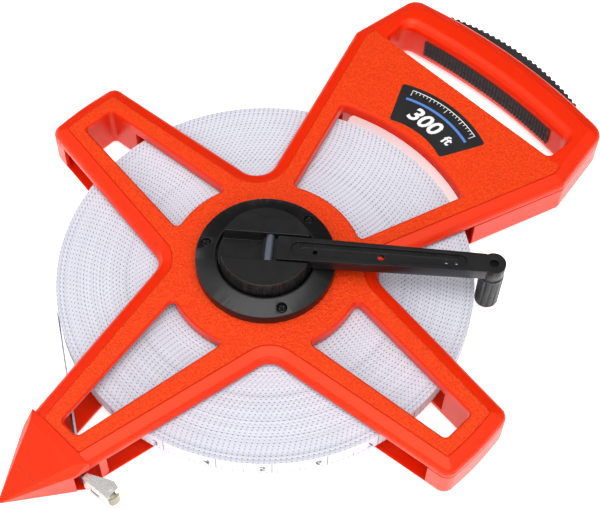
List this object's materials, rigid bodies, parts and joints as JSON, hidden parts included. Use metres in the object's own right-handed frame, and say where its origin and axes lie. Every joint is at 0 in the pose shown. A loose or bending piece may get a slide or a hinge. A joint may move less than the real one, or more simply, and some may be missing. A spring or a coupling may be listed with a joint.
{
  "type": "surveyor tape reel",
  "caption": "Open-frame surveying tape reel with D-handle, side arms, ground spike, fold-flat crank, wound tape and end hook.",
  "frame": {"origin": "on the reel's axis, in the plane of the back face that it rests on", "axes": "+Z along the reel's axis to the crank side, +Y to the handle, -Y to the ground spike"},
  "size_m": [0.3352, 0.4415, 0.05],
  "materials": {
    "frame_plastic": "fine moulded grain, satin bevels",
    "grip_rubber": "matt",
    "label": "printed film",
    "black_plastic": "satin moulded",
    "black_screw": "black oxide",
    "steel": "plated",
    "nylon": "natural",
    "tape": "coated fibreglass ribbon",
    "strap": "flexible",
    "nickel": "bright nickel"
  },
  "bodies": {
    "frame": {"front_frame": "frame_plastic", "back_frame": "frame_plastic", "outer_grip": "grip_rubber", "inner_grip": "grip_rubber", "label_plate": "label", "hub_bezel": "black_plastic", "bezel_screws": "black_screw", "frame_screws": "steel", "centre_axle": "steel", "rear_washer": "nylon", "front_washer": "nylon", "back_cap": "black_plastic", "tape_lead": "tape"},
    "reel": {"drum_core": "black_plastic", "drum_bush": "nylon", "hub_screws": "steel", "tape_anchor": "steel", "wound_tape": "tape", "crank_hub": "black_plastic", "crank_pin": "steel", "detent_ball": "steel", "detent_spring": "steel"},
    "crank": {"crank_arm": "black_plastic", "knob_axle": "black_plastic"},
    "knob": {"crank_knob": "black_plastic"},
    "tape_end": {"tape_end_strap": "strap", "hook_plate": "nickel", "hook_pin": "nickel"},
    "claw": {"hook_claw": "nickel"}
  },
  "joints": [
    {"name": "reel_turn", "type": "hinge", "parent": "frame", "child": "reel", "pos_m": [0, 0, 0.016], "axis": [0, 0, 1], "range_deg": [0, 15]},
    {"name": "crank_fold", "type": "hinge", "parent": "reel", "child": "crank", "pos_m": [0.00169, 0.00141, 0.046], "axis": [0.6428, -0.766, 0], "range_deg": [0, 180]},
    {"name": "knob_spin", "type": "hinge", "parent": "crank", "child": "knob", "pos_m": [0.1015, 0.08517, 0.026], "axis": [0, 0, 1], "continuous": true},
    {"name": "tape_pull", "type": "slide", "parent": "frame", "child": "tape_end", "axis": [0.8406, -0.5416, 0], "range_m": [0, 0.033]},
    {"name": "claw_swing", "type": "hinge", "parent": "tape_end", "child": "claw", "pos_m": [0.03898, -0.157, 0.016], "axis": [0, 0, 1], "range_deg": [0, 90]}
  ],
  "couplings": [
    {"joint": "tape_pull", "follows": "reel_turn", "m_per_rad": 0.125}
  ]
}
